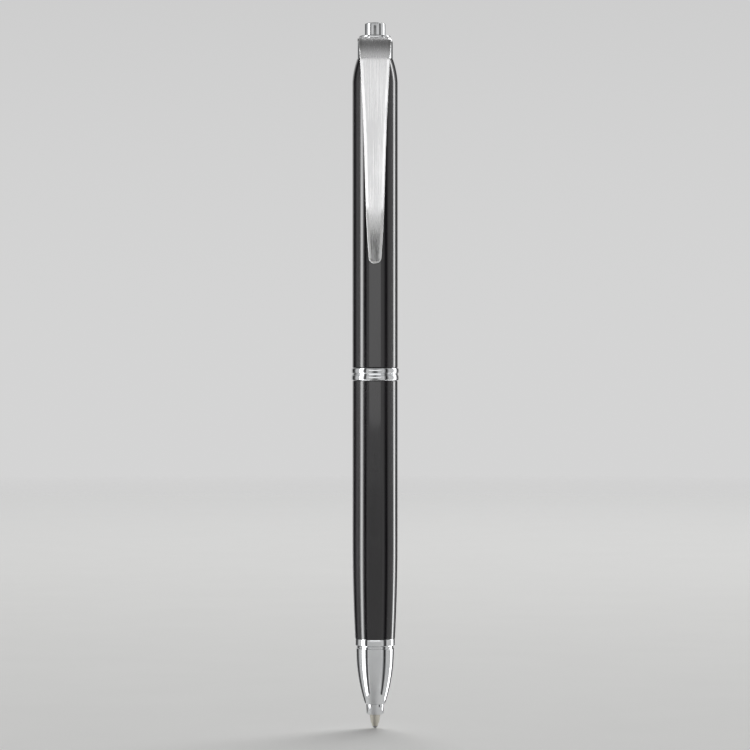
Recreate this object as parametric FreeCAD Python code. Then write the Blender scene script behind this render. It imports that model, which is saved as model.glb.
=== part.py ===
import FreeCAD
import Part
import math
import os

# A slim retractable ballpoint pen: lacquered barrel, sprung strap clip, push button and
# rotary-cam click mechanism. Millimetres. The pen's axis is Z with the writing tip down, and the
# clip faces -Y. The origin is on the axis, at the plane where the two halves of the barrel meet.
# The rest pose is the writing position: button home, nib out.

V = FreeCAD.Vector
AXIS = V(0, 0, 1)
CENTRE = V(0, 0, 0)

# ---- driving dimensions --------------------------------------------------------------------------
BARREL_R = 4.3            # outer radius of both barrel halves
UPPER_BORE_R = 3.55
LOWER_BORE_R = 3.4
JOINT_BORE_R = 3.55       # mouth of the lower barrel, which the joint bush screws into
LOWER_STRAIGHT = 30.0     # straight length of the lower barrel, below the joint plane
LOWER_END_Z = -49.0
LOWER_END_R = 3.8
EDGE_ROUND = 0.12         # on the edges where the halves meet
THREAD_PLAY = 0.2         # step at the end of a threaded bore

RING_H = 2.4              # centre ring between the two halves
RING_R = 4.52
RING_PLAY = 0.02          # between the ring's faces and the barrels' ends
RING_ROUND = 0.2
GROOVE_D = 0.15           # depth of the groove round the ring's middle
GROOVE_FLOOR = 0.12       # half width of the groove's floor
GROOVE_MOUTH = 0.25       # half width of the groove's mouth
FIT = 0.05                # radial clearance of the screwed and sliding fits

BUSH_R = UPPER_BORE_R - FIT   # thread of the joint bush, and its part inside the centre ring
BUSH_BORE_R = 3.05
BUSH_FRONT_Z = -7.8
BUSH_END_Z = 9.0
JOINT_BORE_END_Z = -9.0
THREAD_DEPTH = 0.2
THREAD_PITCH = 0.75
THREAD_ROOT_IN = 0.12     # how deep the ridge's foot is buried

NOSE_BORE_R = 3.25        # bore of the lower barrel that takes the nose cone's thread
NOSE_FRONT_Z = -63.4
NOSE_HOLE_R = 1.2
NOSE_FRONT_R = 1.6
NOSE_FRONT_ROUND = 0.25
NOSE_STEP = [(1.75, -61.4), (1.98, -61.2, 0.1)]      # small step behind the front
NOSE_CURVE = ((3.22, -56.2), (3.62, -50.9))          # bowed flank: middle and end
NOSE_GROOVE = [(3.5, -50.75), (3.5, -50.35)]         # groove in front of the band
NOSE_BAND_Z = -50.2
NOSE_BAND_ROUND = 0.08
NOSE_SHANK = 5.5          # length of the threaded shank
NOSE_SEAT_Z = -57.0       # inner shoulder that the spring stands on
SPRING_BORE_R = 2.55
NOSE_BORE_DEPTH = 6.5

TIP_Z = -66.0             # lowest point of the writing ball
BALL_R = 0.5
BALL_PLAY = 0.015
LIP_RISE = 0.38           # the socket's lip above the lowest point of the ball
LIP_R = 0.6
LIP_ROUND = 0.04
TIP_R = 1.1
TIP_CONE_END_Z = -63.2
TIP_END_Z = -52.0
INK_HOLE_R = 0.3
NECK_R = 1.6
NECK_ROUND = 0.15
NECK_BORE_R = 0.8
NECK_RISE = 0.5           # front of the neck above the spring's seat
NECK_PLUG = 3.0           # length of the neck inside the tube
FLANGE_Z = -46.0          # lower face of the refill's flange, which the spring pushes on
FLANGE_R = 2.4
FLANGE_H = 2.6
REFILL_R = 2.95
REFILL_WALL = 0.25
TUBE_START_Z = -42.5
TUBE_END_Z = 26.0
REFILL_END_Z = 32.0
INK_TOP_Z = 14.0
INK_PLAY = 0.02
VENT_R = 0.4
PLUG_DEPTH = 4.0          # length of the plug inside the tube
PLUG_DRAFT = 0.1
PLUG_ROUND = 0.3
NOTCH_SIZE = (1.2, 0.9, 2.5)
NOTCH_R = 2.1             # from the axis to a notch's floor
NOTCHES = 4

SPRING_R = 1.95           # to the middle of the wire
WIRE_R = 0.21
SPRING_TURNS = 8
SPRING_PLAY = 0.02        # between an end coil and its seat
COIL_PITCH = 2.1 * WIRE_R     # of the closed end coils
WIRE_FLATS = 12           # sides of the wire's section

SLEEVE_START_Z = 38.6     # cam sleeve, fixed in the upper barrel
RIBS_START_Z = 42.1
CHANNEL_END_Z = 52.6
SLEEVE_END_Z = 55.6
SLEEVE_BORE_R = 2.75      # between the ribs
RIB_R = 2.25
CHANNEL_DEG = 36.0
LOBE_DEG = 28.0
LOBE_R = 2.65
CHANNELS = 4
TOOTH_H = 0.9
LOBE_RISE = 0.2           # lobes above the sleeve's lower end
LOBE_PLAY = 0.1           # lobes below the ribs
FOOT_R = 2.2              # rotor's foot on the refill
FOOT_ROUND = 0.2
FOOT_LAP = 0.6            # height of the foot inside the lobes
SPIGOT_R = 1.3
SPIGOT_H = 4.0
SPIGOT_ROUND = 0.3
PLUNGER_R = 2.2
PLUNGER_BORE_R = 1.4
PLUNGER_BORE_H = 5.0
PLUNGER_NECK_Z = 48.0
STEM_DROP = 1.2           # top of the stem below the top of the button
STEM_ROUND = 0.4
FIN_H = 3.55
CAM_PLAY = 0.05           # between the plunger's teeth and the ribs' ends
ROOT_LAP = 0.3            # how far a lobe or a fin reaches into its body, and a cut beyond it

SHOULDER_START_Z = 56.6   # the upper barrel rounds in from here
SHOULDER_MIDDLE = (4.08, 59.3)
SHOULDER_STEP = 0.05      # the barrel's end beside the collar
COLLAR_Z = 61.0
COLLAR_R = 3.4
COLLAR_ROUNDS = (0.15, 0.25)
CLIP_TOP_Z = 65.0
CLIP_T = 0.6
CROWN_BORE_R = 2.05
CROWN_R = 3.05
CROWN_THREAD_R = 2.85
CROWN_H = 0.45
CROWN_ROUND = 0.2
CROWN_FOOT_ROUND = 0.08
CROWN_MOUTH = 0.25        # countersink round the button
CROWN_MOUTH_DEPTH = 0.3

BUTTON_R = 1.98
BUTTON_WALL = 0.26
BUTTON_TOP_Z = 68.1
BUTTON_RIM_Z = 54.0
DOME_R = 6.0              # of the button's top
BUTTON_EDGE = 0.16        # bevel round the button's top
BUTTON_ROOF_DROP = 1.15
RIM_ROUND = 0.08

CLIP_ROOT_Y = -3.1        # where the strap leaves the flat ring
CLIP_BEND_R = 4.6         # outer radius of the shoulder
CLIP_LENGTH = 43.0
CLIP_BENDS = [(1.4, 29.3), (8.0, 3.6), (14.0, 5.6)]    # lean in degrees and height of each run of the strap
CLIP_WIDTHS = [(0.0, 3.05), (15.0, 2.27), (31.0, 1.76)]    # half width, this far below the top
CLIP_TIP_R = 1.2
CLIP_RING_R = 3.3
PIP_R = 0.62
PIP_RISE = 2.6            # above the strap's tip
BEYOND = 4.0              # half size of the boxes and extrusions that the strap is trimmed with
CLIP_BEVEL = 0.22         # on the strap's outer edges
CLIP_GAP = 0.04           # at the line about which the strap springs


# ---- helpers -------------------------------------------------------------------------------------
def outline(points):
    """A closed wire in the XZ plane through (r, z) points. A third number rounds that corner, and a
    (mid, end) pair of points is an arc through mid to end."""
    corners = [p[1] if isinstance(p[0], tuple) else p for p in points]
    ends, arcs = [], []
    for i, corner in enumerate(corners):
        here = V(corner[0], 0, corner[1])
        if len(corner) < 3:
            ends.append((here, here))
            arcs.append(None)
            continue
        before, after = corners[i - 1], corners[(i + 1) % len(corners)]
        back = (V(before[0], 0, before[1]) - here).normalize()
        on = (V(after[0], 0, after[1]) - here).normalize()
        half = back.getAngle(on) / 2
        reach = corner[2] / math.tan(half)
        middle = here + (back + on).normalize() * (corner[2] / math.sin(half) - corner[2])
        ends.append((here + back * reach, here + on * reach))
        arcs.append(middle)
    edges = []
    for i, point in enumerate(points):
        start = ends[i - 1][1]
        into, out = ends[i]
        if isinstance(point[0], tuple):
            middle = V(point[0][0], 0, point[0][1])
            edges.append(Part.Arc(start, middle, into).toShape())
        elif (into - start).Length > 1e-6:
            edges.append(Part.makeLine(start, into))
        if arcs[i] is not None:
            edges.append(Part.Arc(into, arcs[i], out).toShape())
    return Part.Wire(edges)


def turned(points, degrees=360):
    return Part.Face(outline(points)).revolve(CENTRE, AXIS, degrees)


def ring(inner, outer, low, high):
    return turned([(inner, low), (outer, low), (outer, high), (inner, high)])


def rod(radius, low, high):
    return Part.makeCylinder(radius, high - low, V(0, 0, low))


def sector(inner, outer, low, high, width, middle):
    """A piece of a ring, width degrees wide about the angle middle."""
    piece = turned([(inner, low), (outer, low), (outer, high), (inner, high)], width)
    piece.rotate(CENTRE, AXIS, middle - width / 2)
    return piece


def ramp(radius, width, middle, low, rise, inner, outer):
    """A wedge under a slope that climbs with the angle, for cutting one cam tooth."""
    half = radius * math.sin(math.radians(width / 2))
    corners = [V(inner, -half, low), V(inner, half, low), V(inner, half, low + rise)]
    wedge = Part.Face(Part.makePolygon(corners + corners[:1])).extrude(V(outer - inner, 0, 0))
    wedge.rotate(CENTRE, AXIS, middle)
    return wedge


def with_thread(core, major, low, high):
    """The core with a helical ridge round it, up to the major radius. The ridge's foot is buried."""
    root = major - THREAD_DEPTH
    foot_r = root - THREAD_ROOT_IN
    half_foot, half_crest = 0.42 * THREAD_PITCH, 0.08 * THREAD_PITCH
    helix = Part.makeHelix(THREAD_PITCH, high - low, root)
    foot = [V(foot_r, 0, -half_foot), V(foot_r, 0, half_foot)]
    crest = [V(major, 0, -half_crest), V(major, 0, half_crest)]
    corners = [foot[0], crest[0], crest[1], foot[1]]
    profile = Part.makePolygon(corners + corners[:1])
    ridge = Part.Wire(helix.Edges).makePipeShell([profile], True, True)
    ridge.translate(V(0, 0, low))
    return core.fuse(ridge).removeSplitter()


# ---- lower half ----------------------------------------------------------------------------------
def lower_barrel():
    taper = LOWER_END_Z + LOWER_STRAIGHT
    middle_r = BARREL_R - (BARREL_R - LOWER_END_R) / 4
    thread_end = LOWER_END_Z + NOSE_BORE_DEPTH
    return turned([
        (JOINT_BORE_R, 0.0),
        (BARREL_R, 0.0, EDGE_ROUND),
        (BARREL_R, -LOWER_STRAIGHT),
        ((middle_r, -LOWER_STRAIGHT + taper / 2), (LOWER_END_R, LOWER_END_Z)),
        (NOSE_BORE_R, LOWER_END_Z),
        (NOSE_BORE_R, thread_end),
        (LOWER_BORE_R, thread_end + THREAD_PLAY),
        (LOWER_BORE_R, JOINT_BORE_END_Z - THREAD_PLAY),
        (JOINT_BORE_R, JOINT_BORE_END_Z),
    ])


def nose_cone():
    shank_end = LOWER_END_Z + NOSE_SHANK
    root = NOSE_BORE_R - FIT - THREAD_DEPTH
    band_r = LOWER_END_R - 0.03
    core = turned([
        (NOSE_HOLE_R, NOSE_FRONT_Z),
        (NOSE_FRONT_R, NOSE_FRONT_Z, NOSE_FRONT_ROUND),
        *NOSE_STEP,
        NOSE_CURVE,
        *NOSE_GROOVE,
        (band_r, NOSE_BAND_Z, NOSE_BAND_ROUND),
        (band_r, LOWER_END_Z),
        (root, LOWER_END_Z),
        (root, shank_end),
        (SPRING_BORE_R, shank_end),
        (SPRING_BORE_R, NOSE_SEAT_Z),
        (NOSE_HOLE_R, NOSE_SEAT_Z),
    ])
    return with_thread(core, NOSE_BORE_R - FIT, LOWER_END_Z + THREAD_PITCH, shank_end - 0.7)


def return_spring():
    """Closed end coils with open turns between them, of a wire whose section has flats."""
    low = NOSE_SEAT_Z + WIRE_R + SPRING_PLAY
    high = FLANGE_Z - WIRE_R - SPRING_PLAY
    heights = [COIL_PITCH, high - low - 2 * COIL_PITCH, COIL_PITCH]
    turns = [1, SPRING_TURNS, 1]
    coils = []
    base = low
    for height, count in zip(heights, turns):
        coil = Part.makeHelix(height / count, height, SPRING_R)
        coil.translate(V(0, 0, base))
        coils += coil.Edges
        base += height
    corners = []
    for i in range(WIRE_FLATS):
        angle = 2 * math.pi * (i + 0.5) / WIRE_FLATS
        corners.append(V(SPRING_R + WIRE_R * math.cos(angle), 0, low + WIRE_R * math.sin(angle)))
    section = Part.makePolygon(corners + corners[:1])
    return Part.Wire(coils).makePipeShell([section], True, True)


# ---- refill --------------------------------------------------------------------------------------
def writing_ball():
    return Part.makeSphere(BALL_R, V(0, 0, TIP_Z + BALL_R))


def writing_tip():
    lip_z = TIP_Z + LIP_RISE
    body = turned([
        (0.0, lip_z),
        (LIP_R, lip_z, LIP_ROUND),
        (TIP_R, TIP_CONE_END_Z),
        (TIP_R, TIP_END_Z),
        (0.0, TIP_END_Z),
    ])
    channel = rod(INK_HOLE_R, TIP_Z + BALL_R, TIP_END_Z)
    socket = Part.makeSphere(BALL_R + BALL_PLAY, V(0, 0, TIP_Z + BALL_R))
    return body.cut(channel).cut(socket)


def refill_neck():
    """Neck that holds the writing tip, with the spring's flange and a plug inside the tube."""
    front = NOSE_SEAT_Z + NECK_RISE
    plug_end = TUBE_START_Z + NECK_PLUG
    return turned([
        (TIP_R, front),
        (NECK_R, front, NECK_ROUND),
        (NECK_R, FLANGE_Z),
        (FLANGE_R, FLANGE_Z),
        (FLANGE_R, FLANGE_Z + FLANGE_H),
        (REFILL_R, TUBE_START_Z),
        (REFILL_R - REFILL_WALL, TUBE_START_Z),
        (REFILL_R - REFILL_WALL, plug_end),
        (NECK_BORE_R, plug_end),
        (NECK_BORE_R, TIP_END_Z),
        (TIP_R, TIP_END_Z),
    ])


def refill_tube():
    return ring(REFILL_R - REFILL_WALL, REFILL_R, TUBE_START_Z, TUBE_END_Z)


def ink_column():
    return rod(REFILL_R - REFILL_WALL - INK_PLAY, TUBE_START_Z + NECK_PLUG + INK_PLAY, INK_TOP_Z)


def refill_plug():
    """Plastic rear plug with a vent and notches round its end."""
    plug = turned([
        (VENT_R, TUBE_END_Z - PLUG_DEPTH),
        (REFILL_R - REFILL_WALL, TUBE_END_Z - PLUG_DEPTH, PLUG_ROUND - PLUG_DRAFT),
        (REFILL_R - REFILL_WALL, TUBE_END_Z),
        (REFILL_R, TUBE_END_Z),
        (REFILL_R - PLUG_DRAFT, REFILL_END_Z, PLUG_ROUND),
        (VENT_R, REFILL_END_Z),
    ])
    deep, wide, high = NOTCH_SIZE
    pitch = 360.0 / NOTCHES
    for i in range(NOTCHES):
        notch = Part.makeBox(deep, wide, high, V(NOTCH_R, -wide / 2, REFILL_END_Z - high))
        notch.rotate(CENTRE, AXIS, (i + 0.5) * pitch)
        plug = plug.cut(notch)
    return plug


# ---- joint between the halves --------------------------------------------------------------------
def centre_ring():
    low, high = RING_PLAY, RING_H - RING_PLAY
    middle = RING_H / 2
    return turned([
        (UPPER_BORE_R, low),
        (RING_R, low, RING_ROUND),
        (RING_R, middle - GROOVE_MOUTH),
        (RING_R - GROOVE_D, middle - GROOVE_FLOOR),
        (RING_R - GROOVE_D, middle + GROOVE_FLOOR),
        (RING_R, middle + GROOVE_MOUTH),
        (RING_R, high, RING_ROUND),
        (UPPER_BORE_R, high),
    ])


def joint_bush():
    """Threaded bush, pressed into the upper barrel and screwed into the lower one."""
    root = BUSH_R - THREAD_DEPTH
    core = turned([
        (BUSH_BORE_R, BUSH_FRONT_Z),
        (root, BUSH_FRONT_Z, 0.1),
        (root, 0.0),
        (BUSH_R, 0.0),
        (BUSH_R, RING_H),
        (UPPER_BORE_R, RING_H),
        (UPPER_BORE_R, BUSH_END_Z),
        (BUSH_BORE_R, BUSH_END_Z),
    ])
    return with_thread(core, BUSH_R, BUSH_FRONT_Z + 0.5, -0.9)


# ---- upper half ----------------------------------------------------------------------------------
def upper_barrel():
    neck_bore_r = CROWN_THREAD_R + FIT
    return turned([
        (UPPER_BORE_R, RING_H),
        (BARREL_R, RING_H, EDGE_ROUND),
        (BARREL_R, SHOULDER_START_Z),
        (SHOULDER_MIDDLE, (COLLAR_R + SHOULDER_STEP, COLLAR_Z)),
        (neck_bore_r, COLLAR_Z),
        (neck_bore_r, SLEEVE_END_Z),
        (UPPER_BORE_R, SLEEVE_END_Z),
    ])


def clip_collar():
    inner = CROWN_THREAD_R + FIT
    top = CLIP_TOP_Z - CLIP_T
    return turned([
        (inner, COLLAR_Z),
        (COLLAR_R, COLLAR_Z, COLLAR_ROUNDS[0]),
        (COLLAR_R, top, COLLAR_ROUNDS[1]),
        (inner, top),
    ])


def crown_nut():
    """Threaded top bush whose head clamps the clip's ring; the button slides in its bore."""
    foot = SLEEVE_END_Z + THREAD_PLAY
    top = CLIP_TOP_Z + CROWN_H
    root = CROWN_THREAD_R - THREAD_DEPTH
    core = turned([
        (CROWN_BORE_R, foot),
        (root, foot, CROWN_FOOT_ROUND),
        (root, COLLAR_Z),
        (CROWN_THREAD_R, COLLAR_Z),
        (CROWN_THREAD_R, CLIP_TOP_Z),
        (CROWN_R, CLIP_TOP_Z),
        (CROWN_R, top, CROWN_ROUND),
        (CROWN_BORE_R + CROWN_MOUTH, top, CROWN_ROUND / 2),
        (CROWN_BORE_R, top - CROWN_MOUTH_DEPTH),
    ])
    return with_thread(core, CROWN_THREAD_R, foot + 0.5, COLLAR_Z - 0.5)


def cam_sleeve():
    """Fixed sleeve: four channels for the lobes, with two cam teeth on the lower end of each rib."""
    sleeve = ring(RIB_R, UPPER_BORE_R, SLEEVE_START_Z, SLEEVE_END_Z)
    sleeve = sleeve.cut(rod(SLEEVE_BORE_R, SLEEVE_START_Z, RIBS_START_Z))
    pitch = 360.0 / CHANNELS
    tooth_deg = (pitch - CHANNEL_DEG) / 2
    bore = rod(SLEEVE_BORE_R, RIBS_START_Z, CHANNEL_END_Z)
    for i in range(CHANNELS):
        channel = sector(RIB_R - ROOT_LAP, SLEEVE_BORE_R, RIBS_START_Z, CHANNEL_END_Z, CHANNEL_DEG, i * pitch)
        sleeve = sleeve.cut(channel)
        for j in range(2):
            middle = i * pitch + CHANNEL_DEG / 2 + (j + 0.5) * tooth_deg
            tooth = ramp((RIB_R + LOBE_R) / 2, tooth_deg, middle, RIBS_START_Z, TOOTH_H,
                         RIB_R - ROOT_LAP, SLEEVE_BORE_R + ROOT_LAP)
            sleeve = sleeve.cut(tooth.common(bore))
    return sleeve


def cam_rotor():
    """Turning cam: four lobes with sloped tops, a spigot in the plunger and a foot on the refill."""
    lobe_low = SLEEVE_START_Z + LOBE_RISE
    lobe_high = RIBS_START_Z - LOBE_PLAY
    rotor = turned([
        (0.0, REFILL_END_Z + FIT),
        (FOOT_R, REFILL_END_Z + FIT, FOOT_ROUND),
        (FOOT_R, lobe_low + FOOT_LAP),
        (SPIGOT_R, lobe_low + FOOT_LAP),
        (SPIGOT_R, lobe_high + SPIGOT_H, SPIGOT_ROUND),
        (0.0, lobe_high + SPIGOT_H),
    ])
    lobe_middle_r = 2.1
    lobe_width = 2 * lobe_middle_r * math.sin(math.radians(LOBE_DEG / 2))
    slope = math.degrees(math.atan2(TOOTH_H, lobe_width))
    for i in range(CHANNELS):
        lobe = sector(SPIGOT_R - ROOT_LAP, LOBE_R, lobe_low, lobe_high, LOBE_DEG, 0)
        above = Part.makeBox(BEYOND, 2 * BEYOND, BEYOND, V(0, -BEYOND, 0))
        above.rotate(CENTRE, V(1, 0, 0), slope)
        above.translate(V(0, 0, lobe_high - TOOTH_H / 2))
        lobe = lobe.cut(above)
        lobe.rotate(CENTRE, AXIS, i * 360.0 / CHANNELS)
        rotor = rotor.fuse(lobe)
    return rotor.removeSplitter()


def plunger():
    """Thrust tube under the button: crown teeth below, four guide fins in the sleeve's channels."""
    tips = RIBS_START_Z - CAM_PLAY
    roots = tips + TOOTH_H - CAM_PLAY
    stem_r = BUTTON_R - BUTTON_WALL
    stem_top = BUTTON_TOP_Z - STEM_DROP
    bore_end = RIBS_START_Z + PLUNGER_BORE_H
    body = turned([
        (PLUNGER_BORE_R, tips),
        (PLUNGER_R, tips),
        (PLUNGER_R, PLUNGER_NECK_Z, 0.2),
        (stem_r, PLUNGER_NECK_Z + 0.2),
        (stem_r, stem_top, STEM_ROUND),
        (0.0, stem_top),
        (0.0, bore_end),
        (PLUNGER_BORE_R, bore_end),
    ])
    teeth = 2 * CHANNELS
    pitch = 360.0 / teeth
    middle_r = (PLUNGER_R + PLUNGER_BORE_R) / 2
    for i in range(teeth):
        tooth = ramp(middle_r, pitch, i * pitch, tips - 2 * CAM_PLAY, TOOTH_H,
                     PLUNGER_BORE_R - ROOT_LAP, PLUNGER_R + ROOT_LAP)
        body = body.cut(tooth)
    for i in range(CHANNELS):
        body = body.fuse(sector(PLUNGER_R - ROOT_LAP, LOBE_R, roots, roots + FIN_H, LOBE_DEG, 2 * i * pitch))
    return body.removeSplitter()


def push_button():
    """Drawn metal cap with a slightly domed top."""
    inner = BUTTON_R - BUTTON_WALL
    roof = BUTTON_TOP_Z - BUTTON_ROOF_DROP
    edge = BUTTON_R - BUTTON_EDGE
    middle = edge / 2

    def dome_z(r):
        return BUTTON_TOP_Z - DOME_R + math.sqrt(DOME_R ** 2 - r ** 2)

    return turned([
        (inner, BUTTON_RIM_Z),
        (BUTTON_R, BUTTON_RIM_Z, RIM_ROUND),
        (BUTTON_R, dome_z(edge) - BUTTON_EDGE),
        (edge, dome_z(edge)),
        ((middle, dome_z(middle)), (0.0, BUTTON_TOP_Z)),
        (0.0, roof),
        (inner, roof),
    ])


# ---- clip ----------------------------------------------------------------------------------------
def strap_side():
    """The strap from the side, and the line of its inner face alone."""
    lean = math.radians(CLIP_BENDS[0][0])
    centre_y, centre_z = CLIP_ROOT_Y, CLIP_TOP_Z - CLIP_BEND_R
    turn = math.pi / 2 + lean

    def on_arc(angle, radius):
        return V(0, centre_y - radius * math.sin(angle), centre_z + radius * math.cos(angle))

    outer, inner = CLIP_BEND_R, CLIP_BEND_R - CLIP_T
    point = on_arc(turn, outer)
    run = [point]
    for degrees, drop in CLIP_BENDS:
        point = point + V(0, drop * math.tan(math.radians(degrees)), -drop)
        run.append(point)
    normals = [V(0, math.cos(math.radians(d)), math.sin(math.radians(d))) for d, _ in CLIP_BENDS]
    back = [on_arc(turn, inner)]
    for i in range(len(CLIP_BENDS)):
        beside = normals[min(i + 1, len(CLIP_BENDS) - 1)]
        mean = (normals[i] + beside).normalize()
        back.append(run[i + 1] + mean * (CLIP_T / mean.dot(normals[i])))
    top = [Part.Arc(on_arc(0, outer), on_arc(turn / 2, outer), run[0]).toShape()]
    down = [Part.makeLine(a, b) for a, b in zip(run, run[1:])]
    foot = [Part.makeLine(run[-1], back[-1])]
    up = [Part.makeLine(a, b) for a, b in zip(back[::-1], back[-2::-1])]
    under = [Part.Arc(back[0], on_arc(turn / 2, inner), on_arc(0, inner)).toShape()]
    root = [Part.makeLine(on_arc(0, inner), on_arc(0, outer))]
    return Part.Wire(top + down + foot + up + under + root), Part.Wire(up + under)


def strap_front():
    """The strap from the front: a concave taper with a rounded tip, extruded through its depth."""
    down = CLIP_WIDTHS + [(CLIP_LENGTH - CLIP_TIP_R, CLIP_TIP_R)]
    left = [V(-half, 0, CLIP_TOP_Z - drop) for drop, half in down]
    right = [V(half, 0, CLIP_TOP_Z - drop) for drop, half in down]
    edges = []
    for side in (left, right):
        curve = Part.BSplineCurve()
        curve.interpolate(side)
        edges.append(curve.toShape())
    tip = Part.Arc(left[-1], V(0, 0, CLIP_TOP_Z - CLIP_LENGTH), right[-1]).toShape()
    above = CLIP_TOP_Z + CLIP_T
    root_half = CLIP_WIDTHS[0][1]
    corners = [V(-root_half, 0, above), V(root_half, 0, above)]
    cap = [
        Part.makeLine(left[0], corners[0]),
        Part.makeLine(corners[0], corners[1]),
        Part.makeLine(corners[1], right[0]),
    ]
    wire = Part.Wire(Part.__sortEdges__(edges + [tip] + cap))
    face = Part.Face(wire)
    face.translate(V(0, -3 * BEYOND, 0))
    return face.extrude(V(0, 3 * BEYOND, 0))


def clip_arm():
    """The clip's sprung strap, with bevelled outer edges and a pressed pip that grips the cloth."""
    side, inner_line = strap_side()
    inner_line.translate(V(-BEYOND, 0, 0))
    inner_face = inner_line.extrude(V(2 * BEYOND, 0, 0))
    band = Part.Face(side)
    band.translate(V(-BEYOND, 0, 0))
    arm = band.extrude(V(2 * BEYOND, 0, 0)).common(strap_front()).Solids[0]

    def to_bevel(edge):
        across = abs(edge.Vertexes[0].X - edge.Vertexes[-1].X) > 0.9 * edge.Length
        return not across and edge.distToShape(inner_face)[0] > 0.9 * CLIP_T

    arm = arm.makeChamfer(CLIP_BEVEL, [edge for edge in arm.Edges if to_bevel(edge)])
    pip_z = CLIP_TOP_Z - CLIP_LENGTH + PIP_RISE
    pip = Part.makeSphere(PIP_R, V(0, -(BARREL_R + PIP_R + FIT), pip_z))
    slot_corner = V(-BEYOND, CLIP_ROOT_Y - CLIP_GAP, CLIP_TOP_Z - 2 * CLIP_T)
    slot = Part.makeBox(2 * BEYOND, CLIP_GAP, 3 * CLIP_T, slot_corner)
    return arm.fuse(pip).removeSplitter().cut(slot)


def clip_ring():
    """The clip's flat ring, clamped under the crown nut. Its front is as wide as the strap."""
    low = CLIP_TOP_Z - CLIP_T
    root_half = CLIP_WIDTHS[0][1]
    bore = rod(CROWN_THREAD_R + FIT, low - CLIP_T, CLIP_TOP_Z + CLIP_T)
    behind_root = Part.makeBox(2 * BEYOND, 2 * BEYOND, CLIP_T, V(-BEYOND, CLIP_ROOT_Y, low))
    disc = rod(CLIP_RING_R, low, CLIP_TOP_Z).common(behind_root)
    tongue = Part.makeBox(2 * root_half, -CLIP_ROOT_Y, CLIP_T, V(-root_half, CLIP_ROOT_Y, low))
    return disc.fuse(tongue).removeSplitter().cut(bore)


NODES = [
    lower_barrel, nose_cone, return_spring,
    writing_ball, writing_tip, refill_neck, refill_tube, ink_column, refill_plug,
    centre_ring, joint_bush,
    upper_barrel, cam_sleeve, clip_collar, clip_ring, crown_nut,
    clip_arm, plunger, push_button, cam_rotor,
]

os.makedirs("parts", exist_ok=True)
for build in NODES:
    shape = build()
    name = build.__name__
    print(f"{name:14s} solids {len(shape.Solids)} valid {shape.isValid()} volume {shape.Volume:8.2f} mm3")
    shape.exportStep(f"parts/{name}.step")
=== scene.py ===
import math

import bmesh
import bpy
from mathutils import Matrix, Vector


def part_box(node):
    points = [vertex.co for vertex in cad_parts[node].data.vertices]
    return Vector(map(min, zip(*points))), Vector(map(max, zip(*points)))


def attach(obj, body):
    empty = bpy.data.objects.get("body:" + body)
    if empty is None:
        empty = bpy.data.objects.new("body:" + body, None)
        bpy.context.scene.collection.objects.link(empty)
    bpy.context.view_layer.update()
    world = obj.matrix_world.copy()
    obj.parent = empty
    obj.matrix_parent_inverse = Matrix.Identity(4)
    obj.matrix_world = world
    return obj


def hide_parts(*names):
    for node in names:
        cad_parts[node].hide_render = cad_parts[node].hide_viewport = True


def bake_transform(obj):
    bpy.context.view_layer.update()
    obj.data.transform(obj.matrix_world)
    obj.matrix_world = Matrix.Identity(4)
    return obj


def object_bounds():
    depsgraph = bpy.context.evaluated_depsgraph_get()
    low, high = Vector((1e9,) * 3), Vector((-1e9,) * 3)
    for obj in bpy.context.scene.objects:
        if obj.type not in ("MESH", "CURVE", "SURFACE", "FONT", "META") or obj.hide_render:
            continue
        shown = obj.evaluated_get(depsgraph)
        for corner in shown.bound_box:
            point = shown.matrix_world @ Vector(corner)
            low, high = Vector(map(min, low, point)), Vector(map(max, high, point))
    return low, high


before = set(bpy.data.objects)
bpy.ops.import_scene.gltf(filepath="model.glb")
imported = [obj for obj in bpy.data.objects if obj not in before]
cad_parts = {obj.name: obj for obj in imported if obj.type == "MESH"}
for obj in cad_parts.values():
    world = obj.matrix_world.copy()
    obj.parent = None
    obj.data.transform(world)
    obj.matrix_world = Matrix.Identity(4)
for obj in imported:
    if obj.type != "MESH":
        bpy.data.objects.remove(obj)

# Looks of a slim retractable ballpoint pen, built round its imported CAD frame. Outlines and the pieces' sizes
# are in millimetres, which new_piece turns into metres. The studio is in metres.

CAD_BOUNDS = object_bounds()
MM = 0.001
ROUND_STEPS = 5          # segments in each rounded corner of a turned outline
TURN_STEPS = 144         # segments round a turned piece

JOINT_BORE_R = 3.56       # where the bush sits in both halves of the barrel
LOWER_BORE_R = 3.4
THREAD_BORE_R = 3.25      # takes the nose cone's thread
LOWER_END_R = 3.8         # the lower barrel's narrow end
UPPER_END_R = 3.45        # the upper barrel's narrow end
SHANK_BORE_R = 2.91       # takes the crown's shank in the barrel, the collar and the ring
BUSH_BORE_R = 3.05
NOSE_SHANK_R = 2.99
SPRING_BORE_R = 2.56      # in the nose cone
NOSE_HOLE_R = 1.22        # where the writing tip comes out
CROWN_BORE_R = 2.06
BUTTON_WALL = 0.26
TUBE_WALL = 0.25
STRAP_ROOT_Y = -3.1       # where the strap leaves the ring
STRAP_HALF = 3.05         # half the strap's width at its root


# ---- outlines and meshes ---------------------------------------------------------------------------------
def node_mm(node):
    """(outer radius, lowest z, highest z) of a CAD node, in millimetres."""
    low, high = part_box(node)
    return high.x / MM, low.z / MM, high.z / MM


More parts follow.
